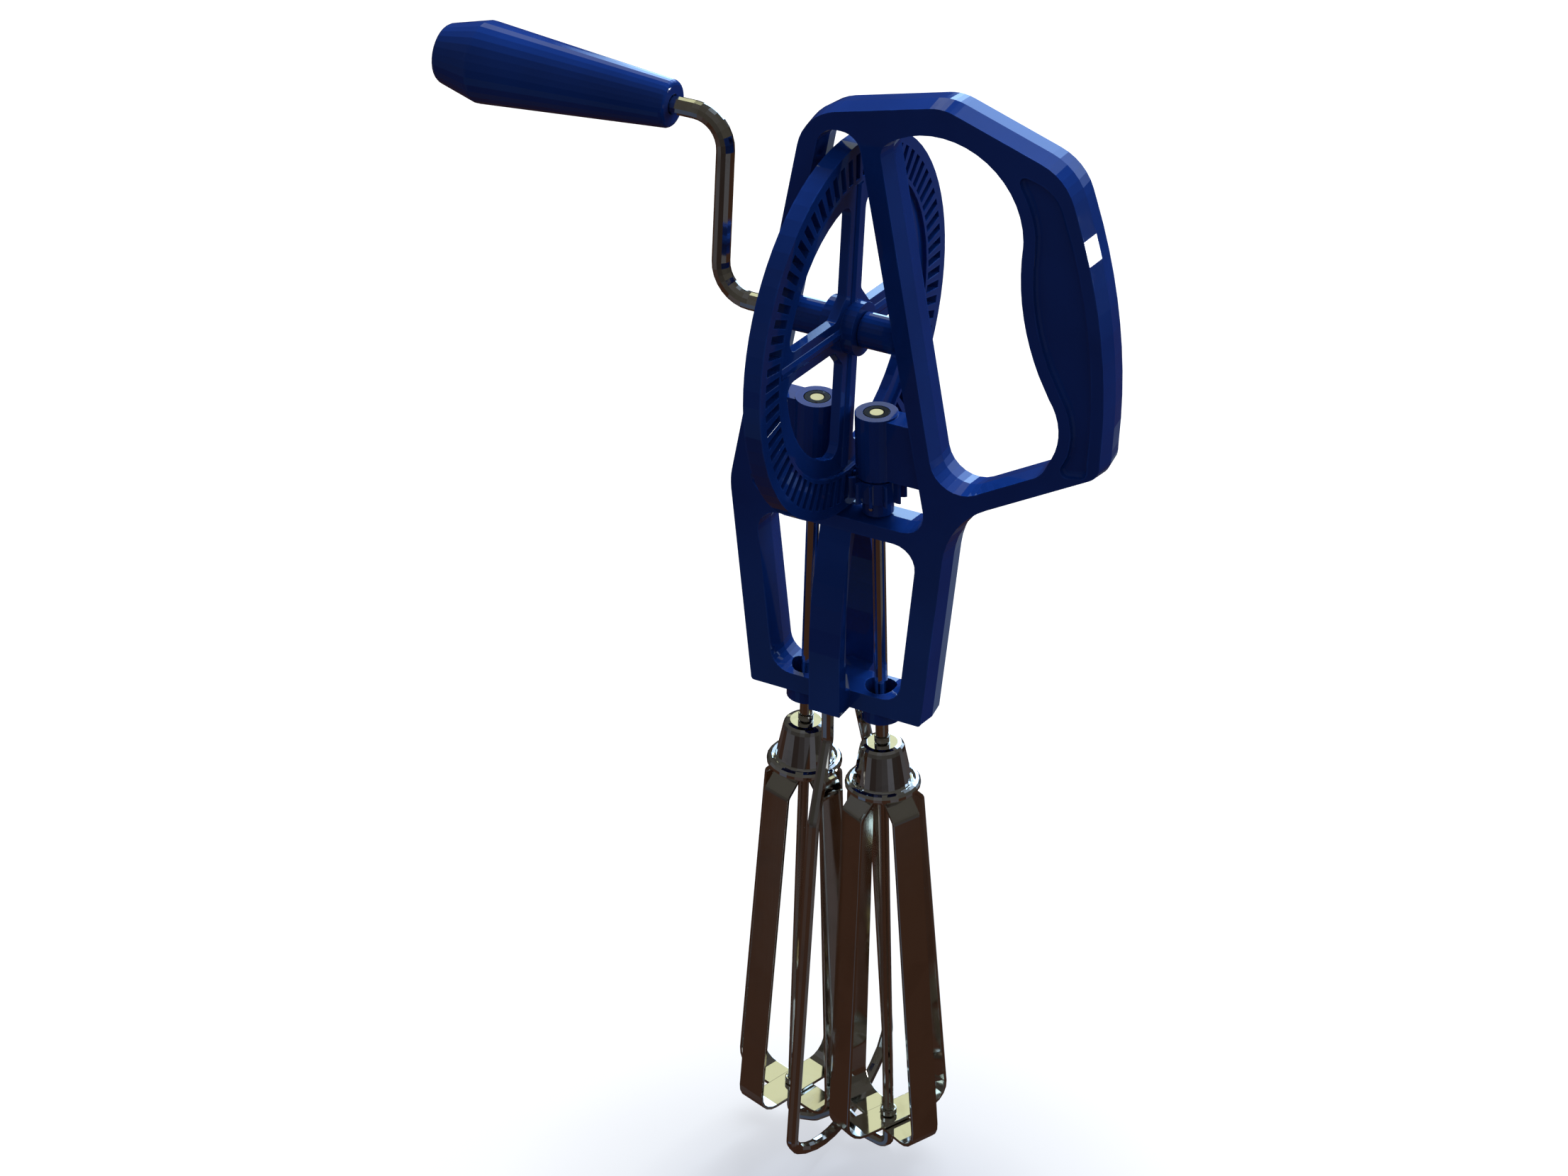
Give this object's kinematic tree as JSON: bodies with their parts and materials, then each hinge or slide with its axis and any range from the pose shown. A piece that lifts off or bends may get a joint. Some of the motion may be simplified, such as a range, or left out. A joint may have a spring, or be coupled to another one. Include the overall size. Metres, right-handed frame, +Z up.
{
  "type": "egg beater",
  "caption": "Hand-cranked rotary egg beater: side crank and slotted drive wheel turn twin caged beaters under a D-shaped handle.",
  "frame": {"origin": "centre of the flat underside of the frame's bottom bar, midway between the two beater shafts", "axes": "+Z up, away from the beaters; +Y towards the rear face of the frame plate; +X along the crank axle, from the crank towards the handle"},
  "size_m": [0.1923, 0.1, 0.323],
  "materials": {
    "blue_plastic": "glossy moulded, royal blue",
    "dark_steel": "polished bar and strip",
    "chrome": "bright plated",
    "black_bush": "black sleeve"
  },
  "bodies": {
    "frame": {"frame": "blue_plastic", "guard_bow": "dark_steel", "guard_yoke": "dark_steel", "left_top_bush": "black_bush", "left_lower_bush": "black_bush", "right_top_bush": "black_bush", "right_lower_bush": "black_bush"},
    "crank": {"drive_wheel": "blue_plastic", "wheel_pin": "dark_steel", "crank_rod": "dark_steel", "grip_washer": "dark_steel"},
    "grip": {"crank_grip": "blue_plastic"},
    "left_beater": {"left_shaft": "dark_steel", "left_pinion": "blue_plastic", "left_pinion_pin": "dark_steel", "left_collar": "dark_steel", "left_cup": "chrome", "left_blade_a": "dark_steel", "left_blade_b": "dark_steel", "left_ferrule": "dark_steel"},
    "right_beater": {"right_shaft": "dark_steel", "right_pinion": "blue_plastic", "right_pinion_pin": "dark_steel", "right_collar": "dark_steel", "right_cup": "chrome", "right_blade_a": "dark_steel", "right_blade_b": "dark_steel", "right_ferrule": "dark_steel"}
  },
  "joints": [
    {"name": "crank_turn", "type": "hinge", "parent": "frame", "child": "crank", "pos_m": [0, 0, 0.109], "axis": [1, 0, 0], "continuous": true},
    {"name": "grip_spin", "type": "hinge", "parent": "crank", "child": "grip", "pos_m": [-0.0853, 0.00453, 0.15608], "axis": [1, 0, 0], "continuous": true},
    {"name": "left_beater_spin", "type": "hinge", "parent": "frame", "child": "left_beater", "pos_m": [-0.0091, 0, 0.0654], "axis": [0.0298, 0, 0.9996], "continuous": true},
    {"name": "right_beater_spin", "type": "hinge", "parent": "frame", "child": "right_beater", "pos_m": [0.0091, 0, 0.0654], "axis": [-0.0298, 0, 0.9996], "continuous": true}
  ],
  "couplings": [
    {"joint": "left_beater_spin", "follows": "crank_turn", "ratio": 6.5455},
    {"joint": "right_beater_spin", "follows": "crank_turn", "ratio": -6.5455}
  ]
}
